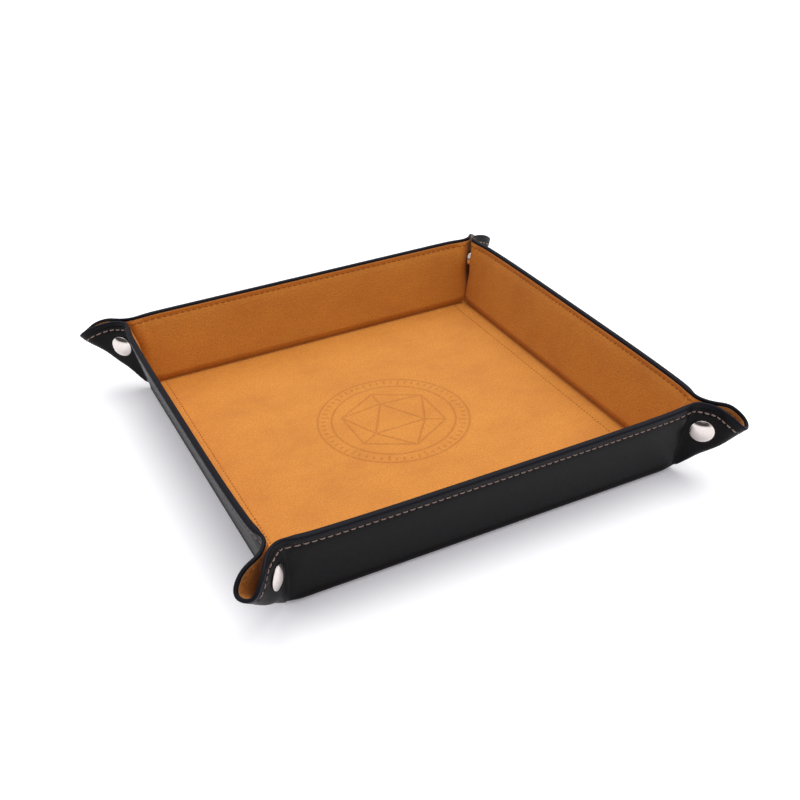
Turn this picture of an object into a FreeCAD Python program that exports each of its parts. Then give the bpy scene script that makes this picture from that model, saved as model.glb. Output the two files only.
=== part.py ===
import FreeCAD, Part
import os
from math import acos, atan2, cos, radians, sin, sqrt, tan

# Folding leatherette dice tray. Millimetres, +Z up, origin at the middle of the
# underside. The tray is one square sandwich of outer cover, boards and lining.
# Four creases fold up the walls. The four square corners have no board: each is
# pinched into a doubled ear that points out along the diagonal, and one snap
# fastener through the ear holds the two walls together.

# ---- driving dimensions ----------------------------------------------------
FLAT_SIZE = 300.0        # the unfolded square
CORNER_RADIUS = 30.0     # its rounded corners
FOLD_HALF = 107.2        # middle of the tray to each crease
WALL_LEAN = 13.5         # degrees a raised wall leans outward from upright
EAR_SPREAD = 6.5         # degrees between each side of an ear and the diagonal
SNAP_ELEVATION = 62.3    # degrees above the floor, from the corner to the snap
FOLD_ELEVATION = 38.3    # degrees above the floor of the ear's folded edge
SNAP_REACH = 29.3        # corner to snap centre

LEATHER = 1.25           # one layer of leatherette
BOARD = 1.1              # stiffener board
BOARD_BACK = 3.5         # board's edge to the crease
BOARD_END = 1.0          # board's edge to the end of its wall
RIM_MARGIN = 6.0         # board's edge to the rim, room for the seam
FOLD_GAP = 0.3           # running gap round a crease

SEAM_INSET = 4.3         # rim to the line of stitches
POCKET_INSET = 10.5      # crease to the floor's line of stitches
THREAD_WIDTH = 0.7
THREAD_PROUD = 0.25

EAR_BEND_GAP = 0.9       # clear strip each side of the bend beside a wall
COVER_ROOT = 6.0         # clear radius of the ear's cover round the corner of the floor
LINING_ROOT = 15.0       # the same for its lining, which is inside the doubled ear
MITRE_HEIGHT = 10.0      # slant height of the cut at the foot of a wall's lining
CROWN_ROOT = 20.0        # where the crown of the ear starts
CROWN_GAP = 1.0          # crown's edge to the diagonal
CROWN_SIDE_GAP = 0.4     # crown's edge to the side of the ear
CROWN_CLEAR = 0.75       # share of the crown's half width left free beside it
CROWN_TIP = 1.0          # length of the slant at the crown's tip

CAP_RADIUS = 6.25
CAP_HEIGHT = 1.8
CAP_RIM = 0.55           # thickness of the cap at its edge
POST_RADIUS = 1.5
SOCKET_RADIUS = 6.0
SOCKET_HEIGHT = 3.1
SOCKET_FLOOR = 0.6
SOCKET_BORE = 2.55
SOCKET_LIP = 2.35        # radius inside the sprung lip at the mouth
SOCKET_LIP_DEPTH = 0.5
STUD_FLANGE_RADIUS = 4.75
STUD_FLANGE = 0.65
STUD_RADIUS = 2.0
STUD_TIP_RADIUS = 1.4
STUD_NECK = 1.7
STUD_LENGTH = 2.6
SEAT_CLEAR = 0.1         # clearance round a seat pressed into the leatherette

# ---- derived sizes ----------------------------------------------------------
WALL_SLANT = FLAT_SIZE / 2 - FOLD_HALF
HALF_SHEET = LEATHER + BOARD / 2
BASE_THICK = 2 * HALF_SHEET
ARC_MIDDLE = WALL_SLANT - CORNER_RADIUS
WALLS = ("right", "back", "left", "front")
CORNERS = ("back_right", "back_left", "front_left", "front_right")

V = FreeCAD.Vector
OUTWARD = V(1, 0, 0)
ALONG = V(0, 1, 0)
UP = V(0, 0, 1)
CORNER = V(FOLD_HALF, FOLD_HALF, HALF_SHEET)
DIAGONAL = V(1, 1, 0).normalize()
ACROSS = V(1, -1, 0).normalize()     # from the diagonal plane to the right wall's side


def unit(vector):
    return V(vector).normalize()


def angle_between(first, second):
    return acos(max(-1.0, min(1.0, first.dot(second))))


def corner_directions():
    """Directions from the corner of the floor to the creases of the right wall's half ear."""
    lean = radians(WALL_LEAN)
    spread = radians(EAR_SPREAD)
    snap = radians(SNAP_ELEVATION)
    fold = radians(FOLD_ELEVATION)
    wall_end = OUTWARD * sin(lean) + UP * cos(lean)
    to_snap = (DIAGONAL * cos(snap) + UP * sin(snap)) * cos(spread) + ACROSS * sin(spread)
    side_run = DIAGONAL * sin(snap) - UP * cos(snap)
    side_normal = unit(to_snap.cross(side_run))
    wall_normal = unit(wall_end.cross(ALONG))
    folded_edge = DIAGONAL * cos(fold) + UP * sin(fold)
    crown_normal = unit(ACROSS.cross(folded_edge))
    wall_bend = unit(wall_normal.cross(side_normal))
    if wall_bend.z < 0:
        wall_bend = wall_bend * -1
    crown_bend = unit(side_normal.cross(crown_normal))
    if crown_bend.dot(DIAGONAL) < 0:
        crown_bend = crown_bend * -1
    return wall_end, wall_bend, crown_bend, folded_edge, to_snap


WALL_END, WALL_BEND, CROWN_BEND, FOLDED_EDGE, TO_SNAP = corner_directions()
BEND_ANGLE = angle_between(WALL_END, WALL_BEND)
SIDE_ANGLE = angle_between(WALL_BEND, CROWN_BEND)
CROWN_ANGLE = angle_between(CROWN_BEND, FOLDED_EDGE)


# ---- placing and cutting ------------------------------------------------------
def placement(origin, x_axis, y_axis):
    """Placement that carries the XY plane to a plane through origin."""
    z_axis = x_axis.cross(y_axis)
    rotation = FreeCAD.Rotation(x_axis, y_axis, z_axis, "ZXY")
    return FreeCAD.Placement(origin, rotation)


def plate(edges, low, high):
    """Solid between two heights over a closed outline in the XY plane."""
    face = Part.Face(Part.Wire(edges))
    face.translate(V(0, 0, low))
    return face.extrude(V(0, 0, high - low))


def polygon(points):
    corners = [V(x, y, 0) for x, y in points]
    closed = corners + corners[:1]
    return Part.makePolygon(closed).Edges


def box_between(low, high):
    size = [b - a for a, b in zip(low, high)]
    return Part.makeBox(*size, V(*low))


def revolved(profile):
    """Solid of revolution about Z of a closed outline in the XZ plane."""
    points = [V(r, 0, z) for r, z in profile]
    face = Part.Face(Part.makePolygon(points + points[:1]))
    return face.revolve(V(0, 0, 0), UP, 360)


def placed(shape, where):
    result = shape.copy()
    result.Placement = where.multiply(result.Placement)
    return result


def turned(shape, quarter_turns):
    result = shape.copy()
    result.rotate(V(0, 0, 0), UP, 90 * quarter_turns)
    return result


def mirrored(shape):
    """The other half of the same corner, across the diagonal plane."""
    return shape.mirror(V(0, 0, 0), ACROSS)


def export(shape, node):
    shape.exportStep(os.path.join("parts", node + ".step"))


# ---- floor ----------------------------------------------------------------------
def floor_slab(low, high):
    """Square slab whose four edges are rounded about the crease lines."""
    slab = box_between((-FOLD_HALF, -FOLD_HALF, 0), (FOLD_HALF, FOLD_HALF, BASE_THICK))
    edge_half = FOLD_HALF - HALF_SHEET
    for turn in range(4):
        start = V(FOLD_HALF, -edge_half, HALF_SHEET)
        edge = Part.makeCylinder(HALF_SHEET, 2 * edge_half, start, ALONG)
        slab = slab.fuse(turned(edge, turn))
    reach = FOLD_HALF + HALF_SHEET
    band = box_between((-reach, -reach, low), (reach, reach, high))
    return slab.common(band).removeSplitter()


def floor_board():
    half = FOLD_HALF - BOARD_BACK
    return box_between((-half, -half, LEATHER), (half, half, LEATHER + BOARD))


def pocket_thread():
    """Rows of stitches on the floor beside the left and right creases."""
    middle = FOLD_HALF - POCKET_INSET
    reach = FOLD_HALF - BOARD_BACK
    rows = []
    for x in (-middle, middle):
        low = (x - THREAD_WIDTH / 2, -reach, BASE_THICK)
        high = (x + THREAD_WIDTH / 2, reach, BASE_THICK + THREAD_PROUD)
        rows.append(box_between(low, high))
    return Part.makeCompound(rows)


# ---- walls -----------------------------------------------------------------------
# A wall is drawn with X along its crease, Y up its slant and Z out of its cover.
WALL_PLACE = placement(V(FOLD_HALF, 0, HALF_SHEET), ALONG, WALL_END)


def wall_slab(low, high, foot_cut):
    """Half the wall's thickness. Its ends follow the bend into the ears."""
    foot = HALF_SHEET + FOLD_GAP
    end_back = EAR_BEND_GAP / cos(BEND_ANGLE)

    def half_length(height):
        return FOLD_HALF + height * tan(BEND_ANGLE) - end_back

    foot_half = half_length(foot) - foot_cut
    foot_corner = (foot_half, foot)
    mitre_corner = (half_length(MITRE_HEIGHT), MITRE_HEIGHT)
    rim_corner = (half_length(WALL_SLANT), WALL_SLANT)
    right_end = [foot_corner, mitre_corner, rim_corner]
    left_end = [(-x, y) for x, y in reversed(right_end)]
    return plate(polygon(right_end + left_end), low, high)


def wall_board():
    half = FOLD_HALF - BOARD_END
    low = (-half, BOARD_BACK, -BOARD / 2)
    high = (half, WALL_SLANT - RIM_MARGIN, BOARD / 2)
    return box_between(low, high)


def wall_thread():
    """The seam under the rim, seen on the cover and on the lining."""
    half = FOLD_HALF - BOARD_END
    middle = WALL_SLANT - SEAM_INSET
    rows = []
    for low in (HALF_SHEET, -HALF_SHEET - THREAD_PROUD):
        start = (-half, middle - THREAD_WIDTH / 2, low)
        end = (half, middle + THREAD_WIDTH / 2, low + THREAD_PROUD)
        rows.append(box_between(start, end))
    return Part.makeCompound(rows)


# ---- ears -------------------------------------------------------------------------
# Each ear is drawn on the unfolded corner, with its middle at the corner of the
# floor, X along the end of the wall, Y away from the wall and Z out of the lining.
def rim_arc_at(angle):
    """Distance from the corner of the floor to the rounded corner of the sheet."""
    along = ARC_MIDDLE * (cos(angle) + sin(angle))
    return along + sqrt(along ** 2 - 2 * ARC_MIDDLE ** 2 + CORNER_RADIUS ** 2)


def rim_arc_point(angle):
    reach = rim_arc_at(angle)
    return V(reach * cos(angle), reach * sin(angle), 0)


def side_plate(low, high, root):
    """Flat side of the ear, between its two bends."""
    bend_back = EAR_BEND_GAP / cos(BEND_ANGLE)
    far = BEND_ANGLE + SIDE_ANGLE - CROWN_CLEAR * CROWN_ANGLE
    arc_start = V(WALL_SLANT, ARC_MIDDLE, 0)
    arc_middle = rim_arc_point((atan2(ARC_MIDDLE, WALL_SLANT) + far) / 2)
    arc_end = rim_arc_point(far)
    root_far = V(root * cos(far), root * sin(far), 0)
    root_near = V(root, root * tan(BEND_ANGLE) + bend_back, 0)
    rim_near = V(WALL_SLANT, WALL_SLANT * tan(BEND_ANGLE) + bend_back, 0)
    edges = [
        Part.LineSegment(root_near, rim_near).toShape(),
        Part.LineSegment(rim_near, arc_start).toShape(),
        Part.Arc(arc_start, arc_middle, arc_end).toShape(),
        Part.LineSegment(arc_end, root_far).toShape(),
        Part.LineSegment(root_far, root_near).toShape(),
    ]
    return plate(edges, low, high)


def side_place():
    """Carries the unfolded corner to the raised side of the ear."""
    onward = unit(CROWN_BEND - WALL_BEND * CROWN_BEND.dot(WALL_BEND))
    x_axis = WALL_BEND * cos(BEND_ANGLE) - onward * sin(BEND_ANGLE)
    y_axis = WALL_BEND * sin(BEND_ANGLE) + onward * cos(BEND_ANGLE)
    return placement(CORNER, x_axis, y_axis)


# The crown is drawn with X along the folded edge and Y from the diagonal to the side.
def crown_strip():
    """Half of the narrow crown that joins the two sides of an ear."""
    tip = sqrt(2) * ARC_MIDDLE + CORNER_RADIUS
    inner = CROWN_ROOT * CROWN_ANGLE - CROWN_SIDE_GAP
    shoulder = tip - CROWN_TIP
    outer = shoulder * CROWN_ANGLE - CROWN_SIDE_GAP
    outline = [(CROWN_ROOT, CROWN_GAP), (tip, CROWN_GAP), (shoulder, outer), (CROWN_ROOT, inner)]
    return plate(polygon(outline), -LEATHER, LEATHER)


CROWN_PLACE = placement(CORNER, FOLDED_EDGE, ACROSS)

# ---- snap fastener -------------------------------------------------------------------
# Each half is drawn with its axis on Z, pointing out of the cover, seated at Z = 0.
SNAP_CENTRE = CORNER + TO_SNAP * SNAP_REACH
SEAT_RISE = LEATHER / cos(radians(EAR_SPREAD))
SNAP_ROTATION = FreeCAD.Rotation(UP, ACROSS)
CAP_SEAT = FreeCAD.Placement(SNAP_CENTRE + ACROSS * SEAT_RISE, SNAP_ROTATION)
INNER_SEAT = FreeCAD.Placement(SNAP_CENTRE - ACROSS * SEAT_RISE, SNAP_ROTATION)


def cap():
    """Low domed cap with a hollow back, and the post that goes through the ear."""
    dome_radius = ((CAP_RADIUS ** 2) + (CAP_HEIGHT - CAP_RIM) ** 2) / (2 * (CAP_HEIGHT - CAP_RIM))
    middle = V(0, 0, CAP_HEIGHT - dome_radius)
    ball = Part.makeSphere(dome_radius, middle)
    disc = Part.makeCylinder(CAP_RADIUS, CAP_HEIGHT).common(ball)
    hollow = Part.makeCylinder(CAP_RADIUS - CAP_RIM, CAP_RIM)
    post_length = CAP_HEIGHT - CAP_RIM + 2 * SEAT_RISE
    post = Part.makeCylinder(POST_RADIUS, post_length, V(0, 0, -2 * SEAT_RISE))
    return disc.cut(hollow).fuse(post).removeSplitter()


def socket():
    """Cup with a sprung lip at its mouth. Its mouth points away from the ear."""
    lip_low = -SOCKET_HEIGHT + SOCKET_LIP_DEPTH
    profile = [
        (POST_RADIUS, 0),
        (SOCKET_RADIUS, 0),
        (SOCKET_RADIUS, lip_low),
        (SOCKET_RADIUS - SOCKET_LIP_DEPTH, -SOCKET_HEIGHT),
        (SOCKET_LIP, -SOCKET_HEIGHT),
        (SOCKET_LIP, lip_low),
        (SOCKET_BORE, lip_low),
        (SOCKET_BORE, -SOCKET_FLOOR),
        (POST_RADIUS, -SOCKET_FLOOR),
    ]
    return revolved(profile)


def stud():
    """Flange and ball-ended stud. The stud points away from the ear."""
    tip = -STUD_FLANGE - STUD_LENGTH
    bulge = tip + STUD_RADIUS / 2
    profile = [
        (POST_RADIUS, 0),
        (STUD_FLANGE_RADIUS, 0),
        (STUD_FLANGE_RADIUS, -STUD_FLANGE),
        (STUD_NECK, -STUD_FLANGE),
        (STUD_RADIUS, bulge),
        (STUD_TIP_RADIUS, tip),
        (0, tip),
        (0, -STUD_FLANGE / 2),
        (POST_RADIUS, -STUD_FLANGE / 2),
    ]
    return revolved(profile)


def snap_clearance():
    """Space that the fastener takes in the two layers of the ear."""
    through = Part.makeCylinder(POST_RADIUS + SEAT_CLEAR, 4 * LEATHER, V(0, 0, -4 * LEATHER))
    cap_seat = Part.makeCylinder(CAP_RADIUS + SEAT_CLEAR, LEATHER)
    inner_seat = Part.makeCylinder(SOCKET_RADIUS + SEAT_CLEAR, LEATHER, V(0, 0, -LEATHER))
    outer = placed(through.fuse(cap_seat), CAP_SEAT)
    return outer.fuse(placed(inner_seat, INNER_SEAT))


# ---- write every node -------------------------------------------------------------------
os.makedirs("parts", exist_ok=True)

board = floor_board()
export(floor_slab(0, HALF_SHEET).cut(board), "base_cover")
export(floor_slab(HALF_SHEET, BASE_THICK).cut(board), "base_lining")
export(board, "base_board")
export(pocket_thread(), "base_thread")

stiffener = wall_board()
wall_layers = {
    "cover": wall_slab(0, HALF_SHEET, 0).cut(stiffener),
    "lining": wall_slab(-HALF_SHEET, 0, HALF_SHEET + FOLD_GAP).cut(stiffener),
    "board": stiffener,
    "thread": wall_thread(),
}
for turn, wall in enumerate(WALLS):
    for layer, shape in wall_layers.items():
        export(turned(placed(shape, WALL_PLACE), turn), wall + "_wall_" + layer)

clearance = snap_clearance()
SIDE_PLACE = side_place()
half_ear = {
    "ear_cover": placed(side_plate(-LEATHER, 0, COVER_ROOT), SIDE_PLACE).cut(clearance),
    "ear_lining": placed(side_plate(0, LEATHER, LINING_ROOT), SIDE_PLACE).cut(clearance),
    "fold": placed(crown_strip(), CROWN_PLACE),
    "cap": placed(cap(), CAP_SEAT),
}
for turn, corner in enumerate(CORNERS):
    first_wall = WALLS[turn]
    second_wall = WALLS[(turn + 1) % 4]
    for piece, shape in half_ear.items():
        export(turned(shape, turn), corner + "_" + piece + "_" + first_wall)
        export(turned(mirrored(shape), turn), corner + "_" + piece + "_" + second_wall)
    export(turned(placed(socket(), INNER_SEAT), turn), corner + "_socket")
    export(turned(mirrored(placed(stud(), INNER_SEAT)), turn), corner + "_stud")
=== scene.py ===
from math import atan2, cos, pi, radians, sin, sqrt

import bpy
import numpy as np
from mathutils import Matrix


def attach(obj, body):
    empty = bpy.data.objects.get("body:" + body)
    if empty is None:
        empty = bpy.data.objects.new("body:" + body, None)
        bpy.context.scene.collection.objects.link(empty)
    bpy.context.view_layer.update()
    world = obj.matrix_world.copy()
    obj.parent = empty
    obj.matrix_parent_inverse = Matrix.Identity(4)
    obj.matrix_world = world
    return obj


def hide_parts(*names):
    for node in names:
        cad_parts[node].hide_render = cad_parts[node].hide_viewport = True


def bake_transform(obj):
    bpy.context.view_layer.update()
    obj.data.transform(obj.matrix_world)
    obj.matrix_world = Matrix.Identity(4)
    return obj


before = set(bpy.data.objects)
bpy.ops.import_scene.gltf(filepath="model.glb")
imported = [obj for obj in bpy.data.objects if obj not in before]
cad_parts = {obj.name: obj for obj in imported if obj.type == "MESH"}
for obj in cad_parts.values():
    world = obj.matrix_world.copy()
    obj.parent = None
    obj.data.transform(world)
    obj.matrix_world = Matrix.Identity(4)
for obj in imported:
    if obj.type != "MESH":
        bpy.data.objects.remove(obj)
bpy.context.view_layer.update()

# Folding dice tray. All shapes below are in millimetres and become metres when a mesh is
# made. The tray is one square sheet: (u, v) is a place on the unfolded sheet, and the
# functions here say where that place is when the walls are up.
MM = 0.001
FOLD = 107.2             # middle of the sheet to each crease
SLANT = 42.8             # crease to rim
MID = 1.8                # height of the middle of the sandwich
LEAN = radians(13.5)
ARC_MIDDLE = 12.8        # middle of the sheet's rounded corner, past the crease
CORNER_RADIUS = 30.0
WALLS = ("right", "back", "left", "front")
CORNERS = ("back_right", "back_left", "front_left", "front_right")

# directions from the corner of the floor, for the right wall's half of an ear
END_OF_WALL = np.array((sin(LEAN), 0, cos(LEAN)))
# where the flat facets of the ear would meet, and its folded edge
WALL_BEND = np.array((0.23273451, 0.0779798, 0.96940899))
CROWN_BEND = np.array((0.62514295, 0.47873497, 0.6164488))
FOLDED_EDGE = np.array((0.55492069, 0.55492069, 0.61977903))
TO_SNAP = np.array((0.40662684, 0.24653332, 0.87970219))
ACROSS = np.array((1, -1, 0)) / sqrt(2)     # square to the diagonal of the corner
CORNER = np.array((FOLD, FOLD, MID))

# angles in an ear, in degrees on the unfolded sheet: 0 at the wall's end, 45 at the fold
BEND_AT = 4.472          # bend between a wall and the side of its ear
ROUND = 6.0              # half of that bend's width
SOFT_END = BEND_AT + ROUND
LOOP_START = 28.0        # here the mesh of the side ends and that of the loop begins
CROWN_START = 37.23      # bend of the crown, from here to the fold
EAR_END = 45

SNAP_REACH = 29.3        # corner of the floor to a snap
SNAP_AT = radians(19.31)
SNAP_HALF_GAP = 2.85     # middle of the leather to the diagonal at a snap
SNAP_FLAT = 7            # radius of the leather pressed flat round it
SNAP_FADE = 9            # and the width over which that ends

LEATHER = 1.25           # thickness
BOARD_HALF = 0.55        # half of a board's thickness
BOARD_LOW = 3.5          # crease to the lower edge of a wall's board
BOARD_HIGH = 36.8        # and to its upper edge
BOARD_END = 106.2        # middle of a wall to the end of its board
FLOOR_BOARD = 103.7      # half of the floor's board
BOARD_STEP = 1.2         # half the width over which the leather steps off a board
TOP_STEP = (32.6, 6.4)   # start and width of the softer step below the seam
TUCK = 0.9               # depth of the rounded rim
SEAM = 38.5              # crease to the line of stitches
SEAM_SLANT = 0.8         # how much lower the stitches come out on the cover
GROOVE = 0.25            # depth of the seam's groove
FLOOR_END = 5.2          # crease to the edge of the floor's panels
SETTLE = 1.5             # how far the leather rounds off a crease
EAR_SETTLE = 3.0         # the same in an ear
NECK_HALF_GAP = 1.55     # middle of the leather to the diagonal where the rims pinch
NECK_AT = 9.5            # wall's end to the middle of that neck
NECK_LENGTH = 9          # and how far it reaches to each side
NECK_RISE = (30, 10)     # the pinch begins this far above the crease, over this width
GOLDEN_TURN = 2.399963   # radians between samples spread evenly over a disc


# ---- shape of the folded sheet --------------------------------------------------
def smooth(x):
    x = np.clip(x, 0, 1)
    return x * x * (3 - 2 * x)


def unit(v):
    return v / np.linalg.norm(v, axis=-1, keepdims=True)


def onward(start, end, degrees):
    """Direction some degrees from start towards end, and past it."""
    side = unit(end - start * (start @ end))
    angle = np.radians(degrees)[..., None]
    return start * np.cos(angle) + side * np.sin(angle)


def ear_directions(count=900):
    """Directions of the lines of half an ear, by their angle on the unfolded sheet."""
    at = np.linspace(0, EAR_END, count)
    first = onward(WALL_BEND, CROWN_BEND, np.array(ROUND))
    last = onward(WALL_BEND, CROWN_BEND, np.array(CROWN_START - BEND_AT))
    flat = onward(WALL_BEND, CROWN_BEND, at - BEND_AT)
    t = (at / SOFT_END)[:, None]
    wall_side = END_OF_WALL * (1 - t) ** 2 + WALL_BEND * 2 * t * (1 - t) + first * t ** 2
    t = ((at - CROWN_START) / (EAR_END - CROWN_START))[:, None]
    crown_side = last * (1 - t) ** 2 + CROWN_BEND * 2 * t * (1 - t) + FOLDED_EDGE * t ** 2
    made = np.where((at < SOFT_END)[:, None], wall_side, flat)
    made = np.where((at > CROWN_START)[:, None], crown_side, made)
    return np.radians(at), unit(made)


EAR_AT, EAR_WAY = ear_directions()


def creased(u, v):
    """Place of (u, v) on the middle of the sandwich, with sharp creases."""
    across, along = np.abs(u), np.abs(v)
    swap = along > across
    a, b = np.where(swap, along, across), np.where(swap, across, along)
    p, q = a - FOLD, b - FOLD
    up = np.maximum(p, 0)
    x = np.where(p > 0, FOLD + up * sin(LEAN), a)
    y = b
    z = MID + up * cos(LEAN)
    ear = (p > 0) & (q > 0)
    r = np.hypot(p, q)
    at = np.arctan2(np.maximum(q, 0), np.maximum(p, 1e-9))
    way = [np.interp(at, EAR_AT, EAR_WAY[:, i]) for i in range(3)]
    x = np.where(ear, FOLD + r * way[0], x)
    y = np.where(ear, FOLD + r * way[1], y)
    z = np.where(ear, MID + r * way[2], z)
    x, y = np.where(swap, y, x), np.where(swap, x, y)
    return np.stack((np.where(u < 0, -x, x), np.where(v < 0, -y, y), z), -1)


def near_snap(u, v):
    """1 under a snap, falling to 0 around it."""
    across, along = np.abs(u), np.abs(v)
    a, b = np.maximum(across, along) - FOLD, np.minimum(across, along) - FOLD
    d = np.hypot(a - SNAP_REACH * cos(SNAP_AT), b - SNAP_REACH * sin(SNAP_AT))
    return 1 - smooth((d - SNAP_FLAT) / SNAP_FADE)


def at_neck(u, v):
    """1 where the rims of two walls pinch together above a snap."""
    across, along = np.abs(u), np.abs(v)
    p, q = np.maximum(across, along) - FOLD, np.minimum(across, along) - FOLD
    return np.exp(-((q - NECK_AT) / NECK_LENGTH) ** 2) * smooth((p - NECK_RISE[0]) / NECK_RISE[1])


def disc(count):
    """Places spread evenly over a disc of radius 1, as (distance, turn)."""
    for k in range(count):
        yield sqrt((k + 0.5) / count), k * GOLDEN_TURN


def settled(u, v):
    """Place of (u, v) with rounded creases, pinched at the rims and flat round each snap."""
    count = 64
    total = 0
    in_ear = smooth((np.minimum(np.abs(u), np.abs(v)) - FOLD + 6) / 8)
    widest = SETTLE + (EAR_SETTLE - SETTLE) * in_ear
    for distance, turn in disc(count):
        reach = widest * distance
        total = total + creased(u + reach * cos(turn), v + reach * sin(turn))
    place = total / count
    sx, sy = np.where(u < 0, -1, 1), np.where(v < 0, -1, 1)
    x, y = place[..., 0] * sx, place[..., 1] * sy
    side = np.where(np.abs(v) > np.abs(u), -1, 1)
    off = (x - y) / sqrt(2)
    gap = off + at_neck(u, v) * (side * NECK_HALF_GAP - off)
    gap = gap + near_snap(u, v) * (side * SNAP_HALF_GAP - gap)
    move = (gap - off) / sqrt(2)
    return np.stack(((x + move) * sx, (y - move) * sy, place[..., 2]), -1)


def leather_at(u, v):
    """Places on the middle of the sandwich, and normals towards the lining."""
    h = 0.1
    du = settled(u + h, v) - settled(u - h, v)
    dv = settled(u, v + h) - settled(u, v - h)
    return settled(u, v), unit(np.cross(du, dv))


def turned(points, quarter):
    """Points turned by quarter turns about the middle of the tray."""
    c, s = ((1, 0), (0, 1), (-1, 0), (0, -1))[quarter % 4]
    x, y = points[..., 0], points[..., 1]
    rest = [points[..., i] for i in range(2, points.shape[-1])]
    return np.stack([c * x - s * y, s * x + c * y] + rest, -1)


# ---- rim, seam and thickness ------------------------------------------------------
def rim_at(at):
    """Corner of the floor to the rim, by the angle on the unfolded sheet."""
    straight = SLANT / np.cos(at)
    along = ARC_MIDDLE * (np.cos(at) + np.sin(at))
    arc = along + np.sqrt(along ** 2 - 2 * ARC_MIDDLE ** 2 + CORNER_RADIUS ** 2)
    return np.where(at < atan2(ARC_MIDDLE, SLANT), straight, arc)


def ear_reach(p, at):
    """Row p of an ear follows the rim, as row p of a wall does."""
    return p + (rim_at(at) - SLANT) * smooth(p / 36)


def seam_path():
    """Distance along the seam from the middle of a wall, by the angle in the ear."""
    at = np.linspace(0, pi / 4, 400)
    r = ear_reach(SEAM, at)
    x, y = r * np.cos(at), r * np.sin(at)
    run = np.concatenate(([0], np.cumsum(np.hypot(np.diff(x), np.diff(y)))))
    return at, FOLD + run


SEAM_AT, SEAM_RUN = seam_path()
STITCHES = round(SEAM_RUN[-1] / 3.62)     # from the middle of a wall to the fold
PITCH = SEAM_RUN[-1] / STITCHES


def past_edge(x, edge):
    """0 inside an edge of a board, 1 beyond it."""
    return smooth((x - edge + BOARD_STEP) / (2 * BOARD_STEP))


def board_under(p, b):
    """1 over a board, 0 beside it; b is the distance from the middle of the wall."""
    wall = past_edge(p, BOARD_LOW) * (1 - smooth((p - TOP_STEP[0]) / TOP_STEP[1]))
    wall = wall * (1 - past_edge(np.abs(b), BOARD_END))
    reach = np.maximum(FOLD + p, np.abs(b))
    return np.maximum(wall, 1 - past_edge(reach, FLOOR_BOARD))


def valley(p, b):
    """1 in the fold between the floor and a raised wall."""
    return np.exp(-(p / 2.0) ** 2) * smooth((FOLD - np.abs(b)) / 4)


def near_fold(p, b, width):
    """1 at the folded edge of an ear, 0 on its sides."""
    return smooth(((b - FOLD) / np.maximum(p, 0.1) - 0.50) / width)


def skived(p, b):
    """Share of the lining's thickness left at a corner and inside the fold of an ear."""
    corner_share, corner_width, fold_loss = 0.35, 7, 0.5
    from_corner = np.hypot(p, np.maximum(FOLD - b, 0))
    at_corner = corner_share + (1 - corner_share) * smooth(from_corner / corner_width)
    return at_corner * (1 - fold_loss * near_fold(p, b, 0.15) * smooth((20 - p) / 10))


def seam_at(side):
    return SEAM + min(side, 0) * SEAM_SLANT


def edge_bulge(p, b, board):
    """The cover is rounded out along the bottom edge of a wall, less so at its ends."""
    lower_edge = 0.7 * np.exp(-((p - 1.6) / 2.0) ** 2) * smooth((p + 1) / 2)
    bulge = (BOARD_HALF * (1 - board) + lower_edge) * smooth((12 - p) / 8) * smooth((p + 6) / 3)
    return bulge * (1 - 0.65 * smooth((b - FOLD + 8) / 8))


def fold_bulge(p, b):
    """And along the folded edge of an ear, near the corner of the floor."""
    return 0.8 * near_fold(p, b, 0.2) * smooth(p / 4) * smooth((18 - p) / 12)


def thickness(side, p, b, run):
    """Middle of the sandwich to the surface of the leather."""
    board = board_under(p, b)
    in_wall = smooth((FOLD - np.abs(b)) / 5)
    # the rim is thicker in a wall and thinner in an ear
    rim = (0.65 * in_wall - 0.27) * smooth((p - 39.2) / 1.2)
    full = LEATHER + BOARD_HALF * board + rim
    if side < 0:
        full = full + edge_bulge(p, b, board) + fold_bulge(p, b)
    hole = 0.5 + 0.5 * np.cos(2 * pi * run / PITCH)
    away = p - seam_at(side)
    groove = np.exp(-(away / 0.6) ** 2) + 0.35 * np.exp(-(away / 1.7) ** 2)
    return full - GROOVE * groove * (0.6 + 0.5 * hole)


# ---- meshes --------------------------------------------------------------------------
def make_mesh(name, points, faces, flat, normals=None, body=None, **fields):
    """A mesh from points in millimetres; flat is each point's place on the sheet."""
    mesh = bpy.data.meshes.new(name)
    mesh.from_pydata((points * MM).tolist(), [], faces)
    mesh.update()
    loops = np.zeros(len(mesh.loops), np.int32)
    mesh.loops.foreach_get("vertex_index", loops)
    layer = mesh.uv_layers.new(name="Flat")
    layer.data.foreach_set("uv", flat[loops].astype(np.float32).ravel())
    for field, values in fields.items():
        store = mesh.attributes.new(field, "FLOAT", "POINT")
        store.data.foreach_set("value", np.asarray(values, np.float32))
    mesh.shade_smooth()
    if normals is not None:
        mesh.normals_split_custom_set_from_vertices(normals.tolist())
    piece = bpy.data.objects.new(name, mesh)
    bpy.context.scene.collection.objects.link(piece)
    if body:
        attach(piece, body)
    return piece


def bend_between(piece, first, second, weights):
    """Bakes the piece's transform into its mesh; first, second and weights are not used."""
    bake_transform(piece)


def ring_faces(rings, columns, flip):
    """Quads of a closed band: rings points round, columns along, with both ends shut."""
    i, j = np.meshgrid(np.arange(rings), np.arange(columns - 1), indexing="ij")
    i, j = i.ravel(), j.ravel()
    k = (i + 1) % rings
    a, b = i * columns + j, k * columns + j
    quads = np.stack((a, b, b + 1, a + 1), -1)
    first_end = [r * columns for r in range(rings)]
    last_end = [r * columns + columns - 1 for r in range(rings)]
    faces = quads.tolist() + [first_end[::-1], last_end]
    if flip:
        faces = [face[::-1] for face in faces]
    return faces


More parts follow.
